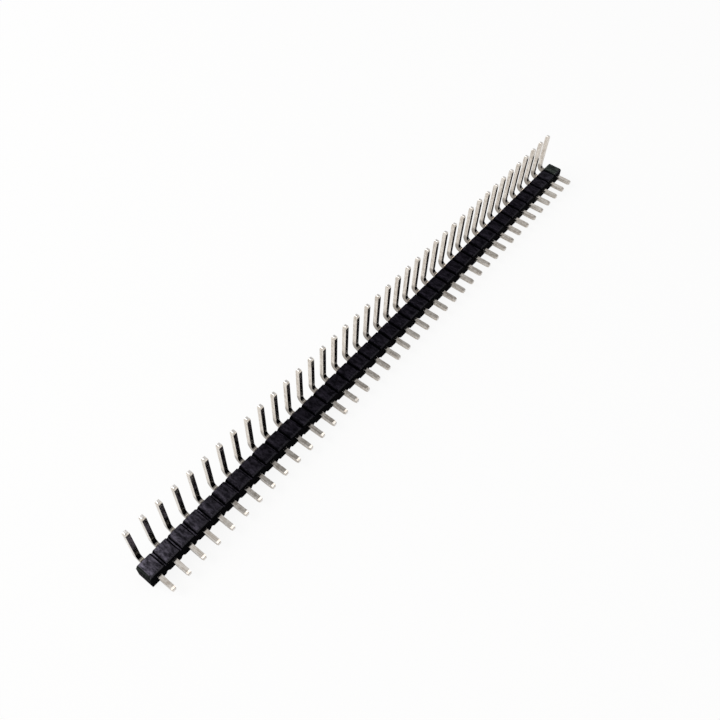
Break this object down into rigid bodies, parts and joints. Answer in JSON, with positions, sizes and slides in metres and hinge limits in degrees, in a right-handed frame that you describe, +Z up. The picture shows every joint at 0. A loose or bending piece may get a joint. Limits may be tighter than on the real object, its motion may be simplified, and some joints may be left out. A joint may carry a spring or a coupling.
{
  "type": "right-angle pin header strip",
  "caption": "Breakaway single-row right-angle pin header: square pins in a moulded strip, short straight solder tails one side, long bent mating posts the other.",
  "frame": {"origin": "middle of the row, where the axes of the tails cross the insulator's board face", "axes": "+X along the row from pin_01 to pin_40, -Y the way the solder tails point, +Z up along the bent posts"},
  "size_m": [0.1016, 0.0069, 0.0086],
  "materials": {
    "insulator": "moulded black glass-filled thermoplastic, fine matt",
    "pins": "tin-plated copper alloy, soft bright"
  },
  "bodies": {
    "root": {"insulator": "insulator", "pin_01": "pins", "pin_02": "pins", "pin_03": "pins", "pin_04": "pins", "pin_05": "pins", "pin_06": "pins", "pin_07": "pins", "pin_08": "pins", "pin_09": "pins", "pin_10": "pins", "pin_11": "pins", "pin_12": "pins", "pin_13": "pins", "pin_14": "pins", "pin_15": "pins", "pin_16": "pins", "pin_17": "pins", "pin_18": "pins", "pin_19": "pins", "pin_20": "pins", "pin_21": "pins", "pin_22": "pins", "pin_23": "pins", "pin_24": "pins", "pin_25": "pins", "pin_26": "pins", "pin_27": "pins", "pin_28": "pins", "pin_29": "pins", "pin_30": "pins", "pin_31": "pins", "pin_32": "pins", "pin_33": "pins", "pin_34": "pins", "pin_35": "pins", "pin_36": "pins", "pin_37": "pins", "pin_38": "pins", "pin_39": "pins", "pin_40": "pins"}
  },
  "joints": []
}
